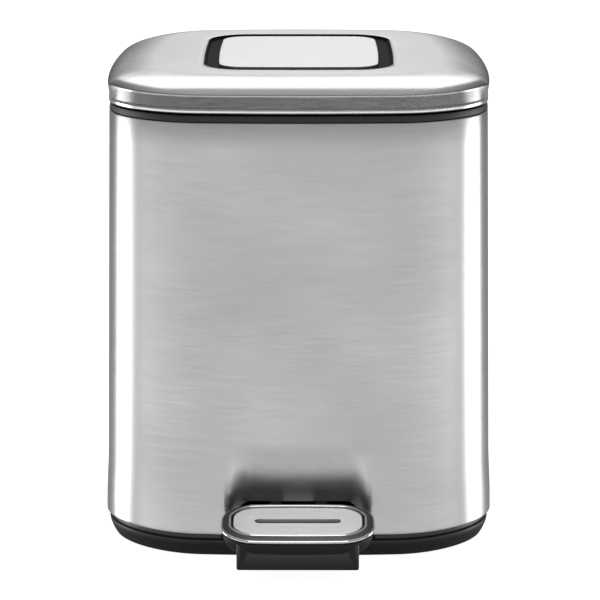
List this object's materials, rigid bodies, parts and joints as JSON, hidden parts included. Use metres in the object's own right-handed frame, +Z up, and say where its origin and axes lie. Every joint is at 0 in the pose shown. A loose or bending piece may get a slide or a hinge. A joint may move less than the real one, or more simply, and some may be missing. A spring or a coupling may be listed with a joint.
{
  "type": "pedal bin",
  "caption": "Small rounded-square pedal bin: steel skin and domed lid with a framed inlay, foot pedal, lever and push rod to the lid, and a lift-out bucket.",
  "frame": {"origin": "on the floor under the middle of the whole bin's box, pedal and hinge included", "axes": "+Z up, -Y the front where the pedal is, +X to the right of someone who faces the back from the front"},
  "size_m": [0.2116, 0.2773, 0.2572],
  "materials": {
    "brushed_steel": "fine horizontal brushing, satin",
    "polished_steel": "polished",
    "zinc_steel": "zinc plated, dull",
    "black_plastic": "moulded, satin",
    "grey_plastic": "moulded, matt",
    "black_rubber": "matt"
  },
  "bodies": {
    "root": {"body_shell": "brushed_steel", "base_housing": "black_plastic", "bottom_cover": "black_plastic", "top_collar": "black_plastic", "hinge_bracket": "black_plastic", "hinge_pin": "zinc_steel", "hinge_cap_1": "black_plastic", "hinge_cap_2": "black_plastic", "bracket_screw_1": "zinc_steel", "bracket_screw_2": "zinc_steel", "rod_guide_lower": "grey_plastic", "rod_guide_upper": "grey_plastic", "lever_pin": "zinc_steel", "lever_clip_1": "zinc_steel", "lever_clip_2": "zinc_steel", "lid_bumper_1": "black_rubber", "lid_bumper_2": "black_rubber", "base_screw_1": "zinc_steel", "base_screw_2": "zinc_steel", "base_screw_3": "zinc_steel", "base_screw_4": "zinc_steel", "rubber_foot_1": "black_rubber", "rubber_foot_2": "black_rubber", "rubber_foot_3": "black_rubber", "rubber_foot_4": "black_rubber"},
    "lid": {"lid_shell": "brushed_steel", "lid_frame": "black_plastic", "lid_plate": "brushed_steel", "lid_liner": "black_plastic", "lid_screw_1": "zinc_steel", "lid_screw_2": "zinc_steel", "lid_screw_3": "zinc_steel", "lid_screw_4": "zinc_steel", "hinge_arm": "zinc_steel", "arm_screw_1": "zinc_steel", "arm_screw_2": "zinc_steel"},
    "pedal": {"pedal_lever": "zinc_steel", "pedal_cup": "black_plastic", "pedal_ring": "polished_steel", "pedal_plate": "brushed_steel", "pedal_insert": "black_rubber", "pedal_screw_1": "zinc_steel", "pedal_screw_2": "zinc_steel"},
    "rod": {"push_rod": "zinc_steel", "rod_clip_bottom": "zinc_steel", "rod_clip_top": "zinc_steel"},
    "bucket": {"inner_bucket": "grey_plastic"},
    "bail": {"bucket_bail": "polished_steel"}
  },
  "joints": [
    {"name": "lid_hinge", "type": "hinge", "parent": "root", "child": "lid", "pos_m": [0, 0.13418, 0.2322], "axis": [-1, 0, 0], "range_deg": [0, 80]},
    {"name": "pedal_pivot", "type": "hinge", "parent": "root", "child": "pedal", "pos_m": [0, -0.05682, 0.02], "axis": [1, 0, 0], "range_deg": [0, 4.45]},
    {"name": "rod_slide", "type": "slide", "parent": "root", "child": "rod", "axis": [0, 0, 1], "range_m": [0, 0.01415]},
    {"name": "bucket_lift", "type": "slide", "parent": "root", "child": "bucket", "axis": [0, 0, 1], "range_m": [0, 0.004]},
    {"name": "bail_swing", "type": "hinge", "parent": "bucket", "child": "bail", "pos_m": [0, 0.02128, 0.2342], "axis": [-1, 0, 0], "range_deg": [0, 3.5]}
  ],
  "couplings": [
    {"joint": "pedal_pivot", "follows": "lid_hinge", "ratio": 0.055529},
    {"joint": "rod_slide", "follows": "lid_hinge", "m_per_rad": 0.010128}
  ]
}
